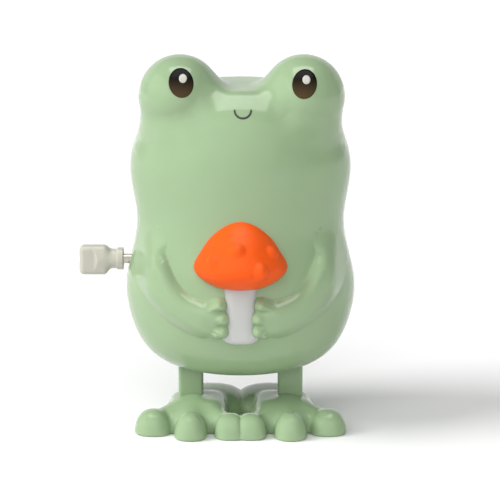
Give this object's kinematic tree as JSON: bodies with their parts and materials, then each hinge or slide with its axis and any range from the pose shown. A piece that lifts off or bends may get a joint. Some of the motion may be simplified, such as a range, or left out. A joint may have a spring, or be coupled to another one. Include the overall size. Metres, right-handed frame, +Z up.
{
  "type": "wind-up jumping frog toy",
  "caption": "Upright plastic frog hugging a mushroom, with a side winding key, a clockwork gearbox inside and joined webbed feet on rocking legs.",
  "frame": {"origin": "on the floor, under the middle of the body, in the plane of the soles", "axes": "+Z up; the frog faces -Y; the winding key is on the -X side, which names call left as seen from the front"},
  "size_m": [0.0549, 0.0436, 0.0749],
  "materials": {
    "body_green": "pale sage green moulded ABS, glossy",
    "cap_orange": "bright orange moulded plastic, satin",
    "stem_white": "off-white moulded plastic, satin",
    "key_ivory": "warm off-white, slightly translucent moulded plastic",
    "frame_white": "white moulded acetal",
    "gear_natural": "natural acetal",
    "shaft_steel": "bright drawn steel wire",
    "spring_steel": "blued spring steel strip"
  },
  "bodies": {
    "frog": {"front_shell": "body_green", "back_shell": "body_green", "mushroom_cap": "cap_orange", "mushroom_stem": "stem_white", "gearbox_left_plate": "frame_white", "gearbox_right_plate": "frame_white", "gearbox_screws": "shaft_steel", "spring_post": "shaft_steel", "leg_pivot_shaft": "shaft_steel", "pivot_washers": "shaft_steel"},
    "great_wheel_body": {"great_wheel": "gear_natural", "click_pawl": "gear_natural"},
    "key": {"key_knob": "key_ivory", "winding_shaft": "shaft_steel", "ratchet_wheel": "gear_natural", "mainspring": "spring_steel"},
    "second_arbor": {"second_wheel": "gear_natural", "second_shaft": "shaft_steel"},
    "crank": {"crank_shaft": "shaft_steel", "crank_pinion": "gear_natural", "left_crank": "gear_natural", "right_crank": "gear_natural"},
    "feet_and_legs": {"feet": "body_green", "left_leg": "body_green", "right_leg": "body_green"}
  },
  "joints": [
    {"name": "great_wheel_spin", "type": "hinge", "parent": "frog", "child": "great_wheel_body", "pos_m": [0, 0, 0.033], "axis": [1, 0, 0], "continuous": true},
    {"name": "wind_turn", "type": "hinge", "parent": "great_wheel_body", "child": "key", "pos_m": [0, 0, 0.033], "axis": [1, 0, 0], "continuous": true, "deforming": ["mainspring"]},
    {"name": "second_spin", "type": "hinge", "parent": "frog", "child": "second_arbor", "pos_m": [0, 0.00724, 0.02439], "axis": [1, 0, 0], "continuous": true},
    {"name": "crank_spin", "type": "hinge", "parent": "frog", "child": "crank", "pos_m": [0, 0, 0.021], "axis": [1, 0, 0], "continuous": true},
    {"name": "feet_swing", "type": "hinge", "parent": "frog", "child": "feet_and_legs", "pos_m": [0, 0, 0.0148], "axis": [1, 0, 0], "range_deg": [-12, 12]}
  ],
  "couplings": [
    {"joint": "second_spin", "follows": "great_wheel_spin", "ratio": -4},
    {"joint": "crank_spin", "follows": "great_wheel_spin", "ratio": 12}
  ]
}
